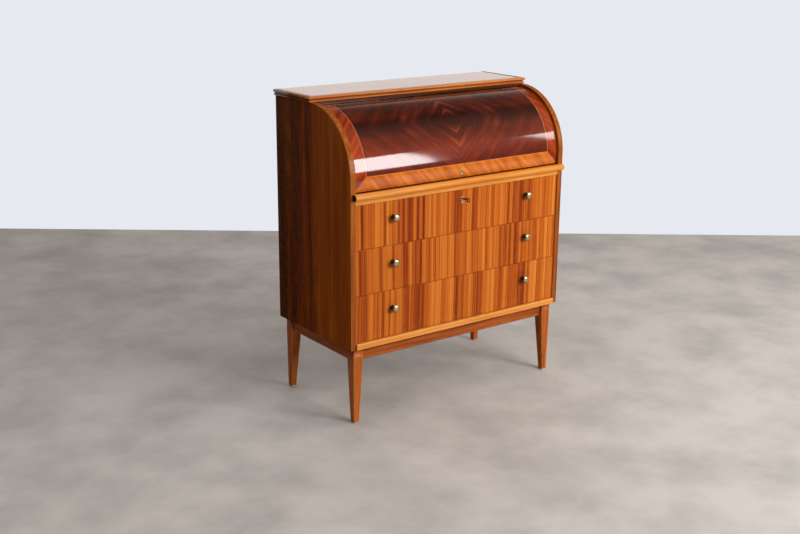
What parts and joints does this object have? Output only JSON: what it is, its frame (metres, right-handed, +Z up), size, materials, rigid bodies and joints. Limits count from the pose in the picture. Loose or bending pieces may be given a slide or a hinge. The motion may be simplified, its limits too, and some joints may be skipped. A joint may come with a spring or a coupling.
{
  "type": "roll top desk",
  "caption": "Cylinder-front roll top desk: rigid curved shell over a pull-out writing board and pigeonholes, wide drawers below, on a tapered-leg frame.",
  "frame": {"origin": "on the floor under the middle of the whole object's box", "axes": "+X to the user's right, +Y to the desk's back, +Z up; the drawers, writing board and cylinder face -Y"},
  "size_m": [0.918, 0.476, 1.05],
  "materials": {
    "side_veneer": "satin lacquer",
    "top_veneer": "satin lacquer",
    "light_edging": "satin lacquer",
    "dark_edging": "satin lacquer",
    "base_wood": "satin lacquer",
    "glide_plastic": "matte",
    "hidden_wood": "bare",
    "back_plywood": "matte stain",
    "unit_wood": "satin lacquer",
    "cylinder_veneer": "high gloss lacquer",
    "writing_veneer": "satin lacquer",
    "drawer_veneer": "satin lacquer",
    "drawer_wood": "bare",
    "black_stem": "ebonised, satin",
    "brass": "polished, slightly aged",
    "screw_steel": "zinc plated",
    "key_steel": "dark, worn",
    "unit_drawer_wood": "satin lacquer"
  },
  "bodies": {
    "carcass": {"side_panel_left": "side_veneer", "side_panel_right": "side_veneer", "bottom_board": "hidden_wood", "bottom_rail": "light_edging", "dust_board": "hidden_wood", "slide_rail": "light_edging", "case_floor": "unit_wood", "top_board": "top_veneer", "top_moulding_front": "light_edging", "top_moulding_ends": "light_edging", "top_rail": "dark_edging", "back_panel": "back_plywood", "leg_front_left": "base_wood", "leg_front_right": "base_wood", "leg_back_left": "base_wood", "leg_back_right": "base_wood", "apron_front": "base_wood", "apron_back": "base_wood", "apron_sides": "base_wood", "foot_glides": "glide_plastic", "corner_blocks": "hidden_wood", "base_screws": "screw_steel", "drawer_runners": "hidden_wood", "pivot_bolts": "brass", "tail_stop": "hidden_wood", "unit_sides": "unit_wood", "unit_top": "unit_wood", "unit_back": "unit_wood", "unit_shelf": "unit_wood", "unit_partitions": "unit_wood"},
    "cylinder": {"cylinder_shell": "cylinder_veneer", "quadrant_left": "unit_wood", "quadrant_right": "unit_wood", "cylinder_escutcheon": "brass", "cylinder_lock": "brass"},
    "writing_slide": {"writing_board": "writing_veneer", "slide_nosing": "light_edging", "slide_stop_pegs": "hidden_wood"},
    "top_drawer": {"top_drawer_front": "drawer_veneer", "top_drawer_frame": "drawer_wood", "top_drawer_bottom": "drawer_wood", "top_drawer_knob_stems": "black_stem", "top_drawer_knob_caps": "brass", "drawer_escutcheon": "brass", "drawer_lock": "brass"},
    "middle_drawer": {"middle_drawer_front": "drawer_veneer", "middle_drawer_frame": "drawer_wood", "middle_drawer_bottom": "drawer_wood", "middle_drawer_knob_stems": "black_stem", "middle_drawer_knob_caps": "brass"},
    "bottom_drawer": {"bottom_drawer_front": "drawer_veneer", "bottom_drawer_frame": "drawer_wood", "bottom_drawer_bottom": "drawer_wood", "bottom_drawer_knob_stems": "black_stem", "bottom_drawer_knob_caps": "brass"},
    "key": {"drawer_key": "key_steel"},
    "left_inner_drawer": {"inner_drawer_left": "unit_drawer_wood", "inner_knob_left": "brass"},
    "right_inner_drawer": {"inner_drawer_right": "unit_drawer_wood", "inner_knob_right": "brass"}
  },
  "joints": [
    {"name": "cylinder_swing", "type": "hinge", "parent": "carcass", "child": "cylinder", "pos_m": [0, 0.018, 0.81], "axis": [-1, 0, 0], "range_deg": [0, 92]},
    {"name": "writing_slide_pull", "type": "slide", "parent": "carcass", "child": "writing_slide", "axis": [0, -1, 0], "range_m": [0, 0.25]},
    {"name": "top_drawer_pull", "type": "slide", "parent": "carcass", "child": "top_drawer", "axis": [0, -1, 0], "range_m": [0, 0.3]},
    {"name": "middle_drawer_pull", "type": "slide", "parent": "carcass", "child": "middle_drawer", "axis": [0, -1, 0], "range_m": [0, 0.3]},
    {"name": "bottom_drawer_pull", "type": "slide", "parent": "carcass", "child": "bottom_drawer", "axis": [0, -1, 0], "range_m": [0, 0.3]},
    {"name": "key_turn", "type": "hinge", "parent": "top_drawer", "child": "key", "pos_m": [0, -0.199, 0.704], "axis": [0, 1, 0], "range_deg": [0, 90]},
    {"name": "left_inner_drawer_pull", "type": "slide", "parent": "carcass", "child": "left_inner_drawer", "axis": [0, -1, 0], "range_m": [0, 0.11]},
    {"name": "right_inner_drawer_pull", "type": "slide", "parent": "carcass", "child": "right_inner_drawer", "axis": [0, -1, 0], "range_m": [0, 0.11]}
  ]
}
